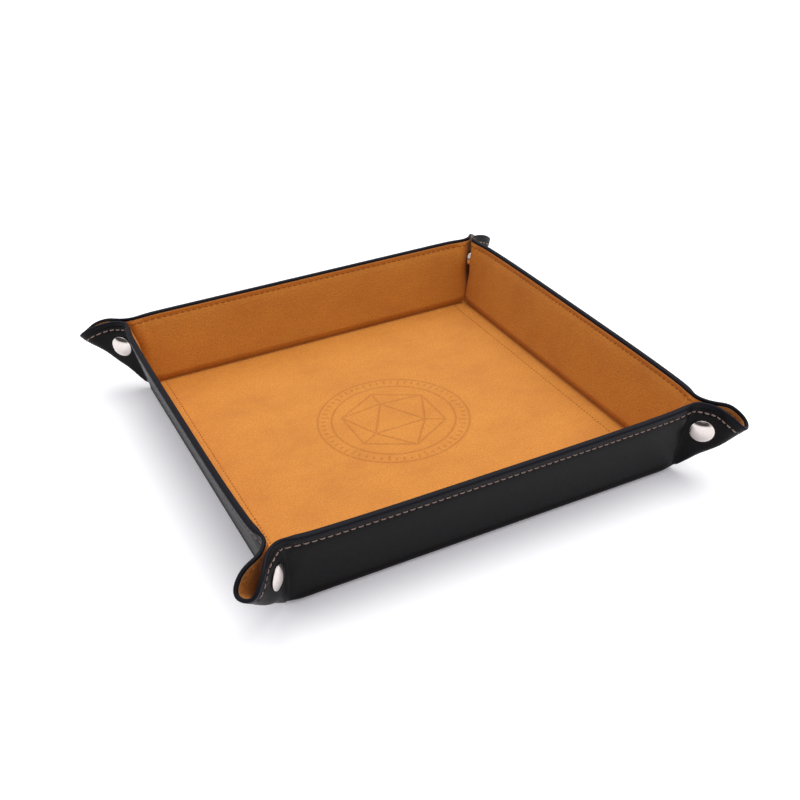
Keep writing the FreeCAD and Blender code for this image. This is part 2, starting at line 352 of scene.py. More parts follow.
# rows of a wall or an ear, by their distance from the crease: fine at the crease and the seam
ROWS = np.concatenate((
    np.arange(-FLOOR_END, 5.3, 0.5), np.arange(6, 35, 3.2), np.arange(35.2, 37.6, 0.4),
    (37.7, 38.0, 38.25, 38.5, 38.75, 39.0, 39.3, 39.7, 40.1, 40.6, 41.2, SLANT - TUCK)))
BACK_ROWS = np.array((38.6, 37.2, 35.4, 30, 20, 10, 5, 3.5, 2, 0.2, -2, -3.5, -FLOOR_END))


def profile(side, rows, back):
    """Rows round one layer, as p, share of its depth, and share of the board's surface."""
    if side < 0:
        # the cover goes round the rim and in under the lining's edge
        turn = np.linspace(0, pi, 9)[1:]
        edge_p = SLANT - TUCK + TUCK * np.sin(turn)
        edge = [(p, cos(t), 0) for p, t in zip(edge_p, turn)]
        edge += [(41.3, -1.0, 0), (40.5, -0.97, 0), (40.1, -0.55, 0), (39.8, -0.1, 0)]
    else:
        # the lining ends below the rim in a cut edge
        rows = rows[:-2]
        edge = [(41.0, 1.02, 0), (41.2, 0.96, 0), (41.3, 0.8, 0), (41.3, 0.5, 0), (41.0, 0.15, 0)]
    visible = [(p, 1, 0) for p in rows]
    hidden = [(p, 0, 1) for p in back]
    table = np.array(visible + edge + hidden)
    return table[:, 0], table[:, 1], table[:, 2]


def pressed(points, v, half):
    """The two halves of a corner's lining press together on the diagonal."""
    most = 0.75
    sy = np.where(v < 0, -1, 1)
    off = (points[..., 0] - points[..., 1] * sy) / sqrt(2) * half
    push = np.clip(-off, 0, most) * half / sqrt(2)
    points[..., 0] += push
    points[..., 1] -= push * sy


def layer(side, rows, back, places, run_of):
    """One layer of leather over a grid: places(p) gives (u, v) of every column of row p.
    Returns points, unfolded places and p, as arrays of rings by columns."""
    p, outer, inner = profile(side, rows, back)
    u, v = places(p[:, None])
    p = np.broadcast_to(p[:, None], u.shape)
    middle, normal = leather_at(u, v)
    beside = np.minimum(np.abs(u), np.abs(v))
    depth = thickness(side, p, beside, run_of(v))
    if side > 0:
        depth = (depth - valley(p, beside)) * skived(p, beside)
    depth = outer[:, None] * depth + inner[:, None] * (BOARD_HALF * board_under(p, beside) + 0.01)
    points = middle + normal * (side * depth)[..., None]
    if side > 0:
        pressed(points, v, np.where(np.abs(v) > np.abs(u), -1, 1))
    return points, np.stack((u, v), -1), p


def shaded(points):
    """Normals of a ring-by-column grid that has one spare column at each end."""
    round_ = np.roll(points, -1, 0) - np.roll(points, 1, 0)
    along = points[:, 2:] - points[:, :-2]
    normal = np.cross(round_[:, 1:-1], along)
    length = np.linalg.norm(normal, axis=-1, keepdims=True)
    return normal / np.maximum(length, 1e-9)


def rim_wear(p):
    """1 on the rim, 0 below it: where the lining's edge gets a painted highlight and the cover a
    navy tint.
    """
    return smooth((p - 40.2) / 1.6)


# ---- materials -----------------------------------------------------------------------
class Nodes:
    """Short calls for building a material's node tree."""

    def __init__(self, owner, shader="Principled BSDF"):
        owner.use_nodes = True
        self.owner = owner
        self.tree = owner.node_tree
        self.shader = self.tree.nodes[shader]

    def add(self, kind, links=(), **settings):
        node = self.tree.nodes.new(kind)
        for key, value in settings.items():
            setattr(node, key, value)
        for socket, value in dict(links).items():
            if isinstance(value, bpy.types.NodeSocket):
                self.tree.links.new(value, node.inputs[socket])
            else:
                node.inputs[socket].default_value = value
        return node

    def math(self, operation, first, second=0.0, third=0.0):
        links = {0: first, 1: second, 2: third}
        return self.add("ShaderNodeMath", links, operation=operation).outputs[0]

    def above(self, value, low, gain):
        """How far a value is above low, times gain."""
        return self.math("MULTIPLY", self.math("SUBTRACT", value, low), gain)

    def noise(self, where, scale, detail=3.0, rough=0.55):
        links = {"Vector": where, "Scale": scale, "Detail": detail, "Roughness": rough}
        return self.add("ShaderNodeTexNoise", links).outputs["Fac"]

    def ramp(self, value, stops):
        node = self.add("ShaderNodeValToRGB", {0: value})
        band = node.color_ramp.elements
        while len(band) < len(stops):
            band.new(0.5)
        for element, (at, colour) in zip(band, stops):
            element.position = at
            element.color = (*colour, 1)
        return node.outputs[0]

    def mix(self, share, first, second, kind="MIX"):
        node = self.add("ShaderNodeMix", data_type="RGBA", blend_type=kind)
        for socket, value in ((0, share), (6, first), (7, second)):
            if isinstance(value, bpy.types.NodeSocket):
                self.tree.links.new(value, node.inputs[socket])
            elif socket:
                node.inputs[socket].default_value = (*value, 1)
            else:
                node.inputs[socket].default_value = value
        return node.outputs[2]

    def bump(self, height, strength, distance, before=None):
        links = {"Height": height, "Strength": strength, "Distance": distance}
        if before is not None:
            links["Normal"] = before
        return self.add("ShaderNodeBump", links).outputs[0]

    def cells(self, where, scale, randomness):
        links = {"Vector": where, "Scale": scale, "Randomness": randomness}
        return self.add("ShaderNodeTexVoronoi", links).outputs["Distance"]

    def stretched(self, where, scale, rotation=(0, 0, 0)):
        links = {"Vector": where, "Scale": scale, "Rotation": rotation}
        return self.add("ShaderNodeMapping", links).outputs[0]

    def field(self, name, share):
        """A share of one of the mesh's own values."""
        value = self.add("ShaderNodeAttribute", attribute_name=name).outputs["Fac"]
        return self.math("MULTIPLY", value, share)

    def finish(self, links=(), **values):
        for socket, source in dict(links).items():
            self.tree.links.new(source, self.shader.inputs[socket])
        for socket, value in values.items():
            self.shader.inputs[socket.replace("_", " ")].default_value = value
        return self.owner


def surface(name):
    return Nodes(bpy.data.materials.new(name))


def flat_coordinates(n):
    """Place on the unfolded sheet, in millimetres."""
    return n.add("ShaderNodeUVMap", uv_map="Flat").outputs[0]


def lining_material():
    n = surface("tan_lining_leather")
    where = flat_coordinates(n)
    cloud = n.noise(n.stretched(where, (0.85, 1.2, 1.0), (0, 0, 0.5)), 0.032, 5, 0.62)
    mottle = n.noise(where, 0.16, 5, 0.6)
    speck = n.noise(where, 0.95, 4, 0.75)
    deep, middle, light = (0.560, 0.208, 0.0295), (0.620, 0.242, 0.0335), (0.660, 0.266, 0.038)
    colour = n.ramp(cloud, ((0.34, deep), (0.50, middle), (0.68, light)))
    colour = n.mix(n.above(mottle, 0.30, 0.55), colour, (0.48, 0.168, 0.030))
    colour = n.mix(n.above(speck, 0.40, 2.8), colour, (0.40, 0.145, 0.022))
    colour = n.mix(n.field("press", 0.34), colour, (0.26, 0.072, 0.010))
    # painted shade in the fold between the floor and each wall
    colour = n.mix(n.field("crease", 0.8), colour, (0.26, 0.064, 0.002))
    # painted shade inside the ears' loops
    colour = n.mix(n.field("shade", 0.5), colour, (0.085, 0.027, 0.011))
    # painted highlight along the lining's top edge
    colour = n.mix(n.field("wear", 0.8), colour, (0.50, 0.27, 0.13))
    pores = n.bump(n.cells(where, 1.1, 0.9), 0.6, 0.00022)
    soft = n.bump(speck, 0.5, 0.0003, pores)
    rough = n.math("MULTIPLY_ADD", mottle, 0.22, 0.50)
    return n.finish({"Base Color": colour, "Roughness": rough, "Normal": soft},
                    Specular_IOR_Level=0.18, Sheen_Weight=0.06, Sheen_Roughness=0.5)


def cover_material():
    n = surface("black_cover_leatherette")
    where = flat_coordinates(n)
    mottle = n.noise(where, 0.25, 4, 0.6)
    deep, light = (0.0030, 0.0024, 0.0028), (0.0050, 0.0041, 0.0046)
    colour = n.ramp(mottle, ((0.3, deep), (0.7, light)))
    # the rim is tinted navy: partly the edge paint's own cast, partly a painted highlight on its
    # lit top
    colour = n.mix(n.field("wear", 0.6), colour, (0.0055, 0.0060, 0.0115))
    grain = n.bump(n.cells(where, 1.25, 0.85), 0.45, 0.00009)
    grain = n.bump(n.noise(where, 1.1, 4, 0.65), 0.4, 0.00014, grain)
    rough = n.math("MULTIPLY_ADD", mottle, 0.14, 0.36)
    return n.finish({"Base Color": colour, "Roughness": rough, "Normal": grain},
                    Specular_IOR_Level=0.085)


def thread_material(name, dark, light):
    n = surface(name)
    where = flat_coordinates(n)
    links = {"Vector": where, "Scale": 0.62, "Distortion": 0.6, "Detail": 1.0}
    twist = n.add("ShaderNodeTexWave", links, bands_direction="DIAGONAL").outputs["Fac"]
    fibre = n.noise(where, 7.0, 2, 0.7)
    colour = n.mix(twist, dark, light)
    colour = n.mix(n.math("MULTIPLY", fibre, 0.3), colour, dark)
    height = n.math("MULTIPLY_ADD", fibre, 0.35, twist)
    return n.finish({"Base Color": colour, "Normal": n.bump(height, 0.8, 0.00018)},
                    Roughness=0.75, Specular_IOR_Level=0.2)


def nickel_material():
    n = surface("snap_nickel")
    where = n.add("ShaderNodeTexCoord").outputs["Object"]
    haze = n.noise(where, 900.0, 3, 0.6)
    scuff = n.noise(where, 4200.0, 2, 0.7)
    colour = n.ramp(haze, ((0.3, (0.60, 0.545, 0.515)), (0.7, (0.68, 0.625, 0.595))))
    rough = n.math("MULTIPLY_ADD", haze, 0.06, 0.04)
    dents = n.bump(scuff, 0.12, 0.00006)
    return n.finish({"Base Color": colour, "Roughness": rough, "Normal": dents}, Metallic=1.0)


def board_material():
    n = surface("grey_board")
    where = n.add("ShaderNodeTexCoord").outputs["Object"]
    fibre = n.noise(n.stretched(where, (300.0, 1500.0, 900.0)), 1.0, 4)
    colour = n.ramp(fibre, ((0.3, (0.30, 0.27, 0.23)), (0.7, (0.46, 0.42, 0.37))))
    return n.finish({"Base Color": colour, "Normal": n.bump(fibre, 0.4, 0.0002)}, Roughness=0.85)


LINING = lining_material()
COVER = cover_material()
THREADS = {
    -1: thread_material("outer_thread", (0.15, 0.098, 0.086), (0.40, 0.285, 0.250)),
    1: thread_material("inner_thread", (0.29, 0.088, 0.014), (0.50, 0.175, 0.026)),
}
NICKEL = nickel_material()
BOARD = board_material()


def dress(piece, material, slot, *nodes):
    piece.data.materials.clear()
    piece.data.materials.append(material)
    if nodes:
        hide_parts(*nodes)


def declare(area=None):
    """Turns the sheet's area from square millimetres to square metres, and does nothing with it."""
    area = area and area * MM * MM


# side of the sandwich: its name, material and slot
LAYERS = {-1: ("cover", COVER, "black_cover"), 1: ("lining", LINING, "tan_lining")}

# ---- floor ---------------------------------------------------------------------------
EMBLEM_REACH = 44.0      # half of the square with the fine grid
RINGS = (42.4, 34.6)     # radii of the two circles
TICK_FROM = (36.6, 38.4)     # inner ends of a long and a short tick
TICK_TO = 40.2
DIE_OUTSIDE, DIE_FACE = 29, 17.5     # to the corners of the die and of its front face
PRESS_DEPTH = 0.34
PRESS_HALF, PRESS_EDGE = 0.22, 0.55  # half of a line's flat bottom, and its sloped side
FLOOR_SEAMS = (-100.0, 96.7)         # beside the left and the right crease
FLOOR_SEAM_END = 103.0
FLOOR_STITCHES = 80
FLOOR_PITCH = 2 * FLOOR_SEAM_END / FLOOR_STITCHES


def emblem_lines():
    """Line pieces of the floor's pressed figure: a twenty-sided die in a ring of ticks."""
    def at(radius, degrees):
        return np.array((radius * cos(radians(degrees)), radius * sin(radians(degrees))))

    lines = []
    outer = [at(DIE_OUTSIDE, 90 + 60 * k) for k in range(6)]
    inner = [at(DIE_FACE, 90 + 120 * k) for k in range(3)]
    for k in range(6):
        lines.append((outer[k], outer[(k + 1) % 6]))
    for k in range(3):
        lines.append((inner[k], inner[(k + 1) % 3]))
        for step in (-1, 0, 1):
            lines.append((inner[k], outer[(2 * k + step) % 6]))
    for k in range(60):
        start = TICK_FROM[0] if k % 5 == 0 else TICK_FROM[1]
        lines.append((at(start, 6 * k), at(TICK_TO, 6 * k)))
    return lines


def emblem_depth(u, v):
    """0 on the plain floor, 1 at the bottom of a pressed line."""
    far = np.full(u.shape, 99.0)
    for radius in RINGS:
        far = np.minimum(far, np.abs(np.hypot(u, v) - radius))
    for first, second in emblem_lines():
        way = second - first
        t = ((u - first[0]) * way[0] + (v - first[1]) * way[1]) / (way @ way)
        t = np.clip(t, 0, 1)
        far = np.minimum(far, np.hypot(u - first[0] - t * way[0], v - first[1] - t * way[1]))
    return 1 - smooth((far - PRESS_HALF) / PRESS_EDGE)


def floor_lines(fine, seams=()):
    """Lines of the floor's grid: fine under the figure, and over each seam."""
    edge = FOLD - FLOOR_END
    over_seam = np.array((-1.3, -0.8, -0.4, 0, 0.4, 0.8, 1.3))
    half = np.concatenate((np.arange(0, EMBLEM_REACH, fine), np.linspace(EMBLEM_REACH, edge, 46)))
    lines = [-half, half] + [seam + over_seam for seam in seams]
    return np.unique(np.round(np.concatenate(lines), 2))


def floor_height(u, v):
    """Middle of the sandwich to the floor's surface, with the seams' grooves."""
    groove = sum(np.exp(-((u - seam) / 0.55) ** 2) for seam in FLOOR_SEAMS)
    hole = 0.5 + 0.5 * np.cos(2 * pi * (v - FLOOR_SEAM_END) / FLOOR_PITCH)
    return LEATHER + BOARD_HALF - 0.15 * groove * (0.6 + 0.4 * hole)


def closed_sheet(top, rows, columns, under_z):
    """A grid of points closed by a flat face below it: points, faces and the edge's points."""
    i, j = np.meshgrid(np.arange(rows - 1), np.arange(columns - 1), indexing="ij")
    a = i.ravel() * columns + j.ravel()
    faces = np.stack((a, a + columns, a + columns + 1, a + 1), -1).tolist()
    last = (rows - 1) * columns
    loop = list(range(columns))
    loop += [k * columns + columns - 1 for k in range(1, rows)]
    loop += [last + k for k in range(columns - 2, -1, -1)]
    loop += [k * columns for k in range(rows - 2, 0, -1)]
    under = top[loop].copy()
    under[:, 2] = under_z
    below = [len(top) + k for k in range(len(loop))]
    for k in range(len(loop)):
        after = (k + 1) % len(loop)
        faces.append([loop[k], loop[after], below[after], below[k]])
    faces.append(below)
    return np.concatenate((top, under)), faces, loop


def floor_panel(side):
    name, material, slot = LAYERS[side]
    fine = 0.5 if side > 0 else 4.0
    us, vs = floor_lines(fine, FLOOR_SEAMS), floor_lines(fine)
    u, v = [g.ravel() for g in np.meshgrid(us, vs, indexing="ij")]
    press = emblem_depth(u, v) if side > 0 else np.zeros(u.shape)
    height = floor_height(u, v) - PRESS_DEPTH * press
    top = np.stack((u, v, MID + side * height), -1)
    points, faces, loop = closed_sheet(top, len(us), len(vs), MID + side * (BOARD_HALF + 0.01))
    if side < 0:
        faces = [face[::-1] for face in faces]
    grid = top.reshape(len(us), len(vs), 3)
    normals = np.cross(np.gradient(grid, axis=0), np.gradient(grid, axis=1)) * side
    normals = unit(normals).reshape(-1, 3)
    normals = np.concatenate((normals, np.tile((0, 0, -side), (len(loop), 1))))
    press = np.concatenate((press, np.zeros(len(loop))))
    piece = make_mesh("floor_" + name, points, faces, points[:, :2], normals, "base", press=press)
    dress(piece, material, slot, "base_" + name)
    declare()


# ---- walls -----------------------------------------------------------------------------
WALL_COLUMNS = 240
RIM_BOW = {"right": 1.9, "back": 0.0, "left": 1.8, "front": 1.6}     # outward, at mid length


def wall_places(p):
    """(u, v) of every column of the right wall's row p, with a spare one at each end."""
    share = np.linspace(-1, 1, WALL_COLUMNS)
    step = 2 * FOLD / (WALL_COLUMNS - 1)
    reach = FOLD + np.minimum(p, 0)
    v = reach * share
    v = np.concatenate((v[:, :1] - step, v, v[:, -1:] + step), 1)
    return np.broadcast_to(FOLD + p, v.shape), v


def wall_weight(p, v):
    """0 on the floor, 1 on the wall; the crease's bend narrows to nothing at its ends."""
    half = np.clip(FOLD - np.abs(v), 0.001, 2.8)
    return smooth((p + half) / (2 * half))


def bow(points, p, v, amount):
    """Leans the middle of the right wall outward a little."""
    share = np.clip(p / SLANT, 0, 1.1) * (1 - np.clip(np.abs(v) / FOLD, 0, 1) ** 4)
    points = points.copy()
    points[..., 0] += amount * share
    return points


def walls():
    for side, (name, material, slot) in LAYERS.items():
        points, flat, p = layer(side, ROWS, BACK_ROWS, wall_places, lambda v: v)
        v = flat[..., 1]
        weight = wall_weight(p, v)[:, 1:-1].ravel()
        faces = ring_faces(len(p), WALL_COLUMNS, side < 0)
        for quarter, wall in enumerate(WALLS):
            bowed = turned(bow(points, p, v, RIM_BOW[wall]), quarter)
            normals = shaded(bowed) * side
            # the crease field gives the lining a painted shade in the fold at the wall's foot
            piece = make_mesh(wall + "_wall_panel_" + name, bowed[:, 1:-1].reshape(-1, 3), faces,
                              turned(flat[:, 1:-1], quarter).reshape(-1, 2),
                              normals.reshape(-1, 3), wear=rim_wear(p[:, 1:-1]).ravel(),
                              crease=valley(p, v)[:, 1:-1].ravel())
            bend_between(piece, "base", wall + "_wall", weight)
            dress(piece, material, slot, wall + "_wall_" + name)
            declare()


def boards():
    """The stiff board inside each wall, bowed with it."""
    count, columns = 14, 90
    rows = np.concatenate((np.linspace(BOARD_LOW, BOARD_HIGH, count),
                           np.linspace(BOARD_HIGH, BOARD_LOW, count)))[:, None]
    v = np.linspace(-BOARD_END, BOARD_END, columns) + 0 * rows
    p = rows + 0 * v
    half = BOARD_HALF * np.repeat((1, -1), count)[:, None]
    x = FOLD + p * sin(LEAN) - half * cos(LEAN)
    z = MID + p * cos(LEAN) + half * sin(LEAN)
    points = np.stack((x, v, z), -1)
    flat = np.stack((FOLD + p, v), -1)
    for quarter, wall in enumerate(WALLS):
        made = turned(bow(points, p, v, RIM_BOW[wall]), quarter).reshape(-1, 3)
        piece = make_mesh(wall + "_wall_stiffener", made, ring_faces(len(rows), columns, False),
                          turned(flat, quarter).reshape(-1, 2), None, wall + "_wall")
        dress(piece, BOARD, "board", wall + "_wall_board")


# ---- ears ------------------------------------------------------------------------------
EAR_FOOT = 0.15          # the ears' lowest row: at 0 it would be a point
EAR_ROWS = np.concatenate(((EAR_FOOT,), ROWS[ROWS > 0.2]))
EAR_BACK = np.concatenate((BACK_ROWS[BACK_ROWS > 0.3], (EAR_FOOT,)))
OVERLAP = 1.4            # degrees that each half's lining goes past the fold
# the two meshes of half an ear, with their first and last angles and their columns
EAR_PARTS = (("side", 0, LOOP_START, 34), ("loop", LOOP_START, EAR_END, 24))


def ear_places(start, end, columns):
    """places(p) for layer(), and the columns' angles and distances along the seam."""
    at = np.radians(np.linspace(start, end, columns))
    step = at[1] - at[0]
    at = np.concatenate((at[:1] - step, at, at[-1:] + step))

    def places(p):
        r = ear_reach(p, np.minimum(np.abs(at), pi / 2 - np.abs(at)))
        return FOLD + r * np.cos(at), FOLD + r * np.sin(at)

    run = np.interp(np.minimum(at, pi / 2 - at), SEAM_AT, SEAM_RUN)
    return places, np.degrees(at), run


# how far the loop at each corner hangs over, as (x, y, z)
EAR_SWING = {
    "back_right": (3.0, 0, -1.5),
    "back_left": (-3.7, 0, 0),
    "front_left": (0, 1.5, 0.8),
    "front_right": (-2.5, 1.0, 1.0),
}


def swung(points, corner, at, p):
    """Shifts the loop of an ear, all of it at the fold's rim and nothing at its side's
    foot; at is in degrees on the unfolded sheet."""
    share = smooth((at - 14) / 24) * smooth((p - 24) / 17)
    return points + share[..., None] * np.array(EAR_SWING[corner])


def bend_share(p, at, part):
    """Share of a bend's turn that a place of an ear takes. The leather rounds a bend off
    over EAR_SETTLE, so near the corner of the floor the bend takes up more of the ear."""
    count = 48
    r = ear_reach(p, np.radians(np.minimum(np.abs(at), 90 - np.abs(at))))

    def turn_at(angle):
        if part == "side":
            return smooth(angle / SOFT_END)
        near = np.minimum(angle, 90 - angle)
        near = smooth((near - CROWN_START) / (EAR_END - CROWN_START))
        return np.where(angle < EAR_END, near, 2 - near)

    def rounded(at):
        total = 0
        for distance, turn in disc(count):
            reach = EAR_SETTLE * distance
            x = r * np.cos(np.radians(at)) + reach * cos(turn)
            y = r * np.sin(np.radians(at)) + reach * sin(turn)
            total = total + turn_at(np.degrees(np.arctan2(y, x)))
        return total / count

    if part == "side":
        # nothing where the wall's mesh begins, all where the loop's does
        start = rounded(0 * at)
        share = np.clip((rounded(at) - start) / (1 - start), 0, 1)
        return share + (1 - share) * smooth((at - 18) / (LOOP_START - 18))
    return np.clip(rounded(at), 0, 1) * smooth((at - LOOP_START) / 6)


def half_ears():
    """(corner, wall, quarter turns, +1 or -1 along that wall) of the eight half ears."""
    for turn, corner in enumerate(CORNERS):
        yield corner, WALLS[turn], turn, 1
        yield corner, WALLS[(turn + 1) % 4], turn + 1, -1


def flat_area(flat):
    """Area of the outline of a grid of unfolded places."""
    ring = np.concatenate((flat[0], flat[1:, -1], flat[-1, -2::-1], flat[-2:0:-1, 0]))
    x, y = ring[:, 0], ring[:, 1]
    return abs(np.dot(x, np.roll(y, -1)) - np.dot(y, np.roll(x, -1))) / 2


def ears():
    for part, start, end, columns in EAR_PARTS:
        for side, (name, material, slot) in LAYERS.items():
            lap = OVERLAP if part == "loop" and side > 0 else 0
            places, at, run = ear_places(start, end + lap, columns)
            points, flat, p = layer(side, EAR_ROWS, EAR_BACK, places,
                                    lambda v: np.broadcast_to(run, v.shape))
            weight = bend_share(p, at, part)[:, 1:-1].ravel()
            # painted shade: the lining is darkened towards the inside of each ear's loop, where
            # little light reaches
            inside = np.minimum(flat[..., 0], flat[..., 1]) - FOLD
            shade = smooth((inside - 4) / 12)[:, 1:-1].ravel()
            along_seam = np.ptp(run[1:-1])
            # with the leather hidden at the rim
            area = flat_area(flat[:len(EAR_ROWS), 1:-1]) + 2.5 * along_seam
            for corner, wall, quarter, along in half_ears():
                sense = np.array((1, along, 1))
                made = swung(turned(points * sense, quarter), corner, at, p)
                spread = turned(flat * sense[:2], quarter)
                normals = shaded(made) * (side * along)
                piece = make_mesh(f"{corner}_ear_{part}_{name}_{wall}",
                                  made[:, 1:-1].reshape(-1, 3),
                                  ring_faces(len(p), columns, (side < 0) == (along > 0)),
                                  spread[:, 1:-1].reshape(-1, 2), normals.reshape(-1, 3),
                                  wear=rim_wear(p[:, 1:-1]).ravel(), shade=shade)
                ear = f"{corner}_ear_{wall}"
                if part == "side":
                    bend_between(piece, wall + "_wall", ear, weight)
                    dress(piece, material, slot, f"{corner}_ear_{name}_{wall}")
                else:
                    bend_between(piece, ear, f"{corner}_crown_{wall}", weight)
                    replaced = [f"{corner}_fold_{wall}"] if side < 0 else []
                    dress(piece, material, slot, *replaced)
                declare(area)


# ---- stitches ------------------------------------------------------------------------
# a stitch along its length: place, height over the leather and half width
STITCH_X = np.array((-1.0, -0.93, -0.78, -0.45, 0, 0.45, 0.78, 0.93, 1.0))
STITCH_LIFT = np.array((-0.24, -0.04, 0.05, 0.09, 0.10, 0.09, 0.05, -0.04, -0.24))
STITCH_WIDE = np.array((0.20, 0.30, 0.36, 0.40, 0.41, 0.40, 0.36, 0.30, 0.20))
STITCH_SIDES = 8
STITCH_FLAT = 0.78       # a thread's height by its width
STITCH_LENGTH = 2.75
STITCH_SUNK = 0.06       # how far a stitch is drawn in
STITCH_SKEW = 0.05       # how far its ends lie off the line
THREAD_TURN = np.arange(STITCH_SIDES) * 0.29     # distance round a thread, for its twist


def stitch_mesh(centre, along, normal):
    """Ring points of threads, from arrays of stitches by points along."""
    across = unit(np.cross(normal, along))
    turn = np.arange(STITCH_SIDES) * 2 * pi / STITCH_SIDES
    wide = STITCH_WIDE[None, :, None, None]
    ring = across[:, :, None] * np.cos(turn)[None, None, :, None]
    ring = ring + normal[:, :, None] * (STITCH_FLAT * np.sin(turn))[None, None, :, None]
    return centre[:, :, None] + ring * wide


def stitch_flat(run):
    """Places along and round each thread, for the same points."""
    return np.stack(np.broadcast_arrays(run[:, :, None], THREAD_TURN[None, None]), -1)


def stitch_faces(count, flip):
    rings, sides = len(STITCH_X), STITCH_SIDES
    faces = []
    for s in range(count):
        base = s * rings * sides
        for i in range(rings - 1):
            for j in range(sides):
                k = (j + 1) % sides
                a, b = base + i * sides, base + (i + 1) * sides
                faces.append((a + j, a + k, b + k, b + j))
        faces.append([base + j for j in range(sides)][::-1])
        faces.append([base + (rings - 1) * sides + j for j in range(sides)])
    if flip:
        faces = [face[::-1] for face in faces]
    return faces


def seam_place(run, p):
    """Unfolded place at a distance along the seam from the middle of the right wall."""
    at = np.interp(np.abs(run), SEAM_RUN, SEAM_AT)
    r = ear_reach(p, at)
    in_ear = np.abs(run) > FOLD
    u = FOLD + np.where(in_ear, r * np.cos(at), p)
    v = np.where(in_ear, FOLD + r * np.sin(at), np.abs(run))
    return u, np.where(run < 0, -v, v), np.where(in_ear, np.degrees(at), 0)


def seam_stitches(first, last, side):
    """Stitches numbered first to last from the middle of a wall, on one face: their
    points, places along the thread and angles in the ear."""
    number = np.arange(first, last)
    run = (number[:, None] + 0.5) * PITCH + STITCH_X * STITCH_LENGTH / 2
    p = seam_at(side) + STITCH_SKEW * STITCH_X * side + 0 * run
    u, v, at = seam_place(run, p)
    middle, normal = leather_at(u, v)
    u2, v2, _ = seam_place(run + 0.2, p)
    ahead, _ = leather_at(u2, v2)
    along = unit(ahead - middle)
    normal = normal * side
    beside = np.minimum(np.abs(u), np.abs(v))
    depth = thickness(side, p, beside, run)
    centre = middle + normal * (depth + STITCH_LIFT - STITCH_SUNK)[..., None]
    points = stitch_mesh(centre, along, normal)
    at = np.broadcast_to(at[:, :, None], points.shape[:3])
    return points, stitch_flat(run).reshape(-1, 2), at


def wall_stitches(side, last):
    name, thread = LAYERS[side][0], THREADS[side]
    points, flat, _ = seam_stitches(-last, last, side)
    for quarter, wall in enumerate(WALLS):
        p = np.full(points.shape[:3], SEAM)
        bowed = bow(points, p, points[..., 1], RIM_BOW[wall])
        piece = make_mesh(f"{wall}_wall_stitches_{name}", turned(bowed, quarter).reshape(-1, 3),
                          stitch_faces(2 * last, side > 0), flat, None, wall + "_wall")
        dress(piece, thread, "seam_thread", *([wall + "_wall_thread"] if side < 0 else []))


def ear_stitches(side, first, last, part):
    name, thread = LAYERS[side][0], THREADS[side]
    points, flat, at = seam_stitches(first, last, side)
    weight = bend_share(SEAM, at, part).ravel()
    for corner, wall, quarter, along in half_ears():
        made = turned(points * np.array((1, along, 1)), quarter)
        made = swung(made, corner, at, SEAM).reshape(-1, 3)
        piece = make_mesh(f"{corner}_ear_{part}_stitches_{name}_{wall}", made,
                          stitch_faces(last - first, (side > 0) == (along > 0)), flat)
        ear = f"{corner}_ear_{wall}"
        pair = (wall + "_wall", ear) if part == "side" else (ear, f"{corner}_crown_{wall}")
        bend_between(piece, *pair, weight)
        dress(piece, thread, "seam_thread")


def seams():
    end_gap = 1.25           # from a stitch's middle to the wall's end, at least
    in_wall = int(FOLD / PITCH - 0.5 - end_gap / PITCH) + 1
    in_side = int(np.interp(radians(LOOP_START), SEAM_AT, SEAM_RUN) / PITCH)
    for side in LAYERS:
        wall_stitches(side, in_wall)
        ear_stitches(side, in_wall, in_side, "side")
        ear_stitches(side, in_side, STITCHES, "loop")


def floor_stitches():
    """Rows of finer stitches on the floor beside the left and right creases."""
    half_length, skew = 0.85, 0.08
    sunk = {1: 0.15, -1: 0.42}
    number = np.arange(FLOOR_STITCHES)[:, None] + 0.5
    for side in (1, -1):
        points, flats = [], []
        for middle in FLOOR_SEAMS:
            v = -FLOOR_SEAM_END + number * FLOOR_PITCH + STITCH_X * half_length
            u = middle + skew * STITCH_X + 0 * v
            height = floor_height(u, v) + 0.8 * STITCH_LIFT - sunk[side]
            centre = np.stack((u, v, MID + side * height), -1)
            along = np.zeros(centre.shape) + (0, side, 0)
            normal = np.zeros(centre.shape) + (0, 0, side)
            points.append(stitch_mesh(centre, along, normal).reshape(-1, 3))
            flats.append(stitch_flat(v).reshape(-1, 2))
        piece = make_mesh("floor_stitches_" + LAYERS[side][0], np.concatenate(points),
                          stitch_faces(2 * FLOOR_STITCHES, side > 0),
                          np.concatenate(flats), None, "base")
        dress(piece, THREADS[side], "seam_thread", *(["base_thread"] if side > 0 else []))


# ---- snaps -----------------------------------------------------------------------------
CAP_DOME = 12.0          # radius of the polished dome
CAP_WIDE = 6.0           # half the width of the dome
CAP_TURNS = 72
DOME_SEAT = 0.52         # height of the dome's edge
EAR_SPREAD = radians(6.5)     # between the ear's side and the diagonal, at a snap


def cap_profile():
    """(radius, height) from the seat round the rolled edge and over the dome."""
    edge = [(0, -0.1), (5.6, -0.1), (6.1, 0.0), (6.25, 0.16), (6.25, 0.32), (6.17, 0.44)]
    low = sqrt(CAP_DOME ** 2 - CAP_WIDE ** 2)
    radii = (CAP_WIDE, 5.5, 4.9, 4.2, 3.4, 2.5, 1.6, 0.8, 0)
    dome = [(r, DOME_SEAT + sqrt(CAP_DOME ** 2 - r * r) - low) for r in radii]
    return np.array(edge + dome)


def lathe_faces(count, turns):
    """Faces of count rings of points, closed by a point at each end."""
    faces = []
    last = (count - 1) * turns
    for a in range(0, last, turns):
        for j in range(turns):
            k = (j + 1) % turns
            faces.append((a + j, a + k, a + turns + k, a + turns + j))
    for j in range(turns):
        k = (j + 1) % turns
        faces.append((j, count * turns, k))
        faces.append((last + j, last + k, count * turns + 1))
    return faces


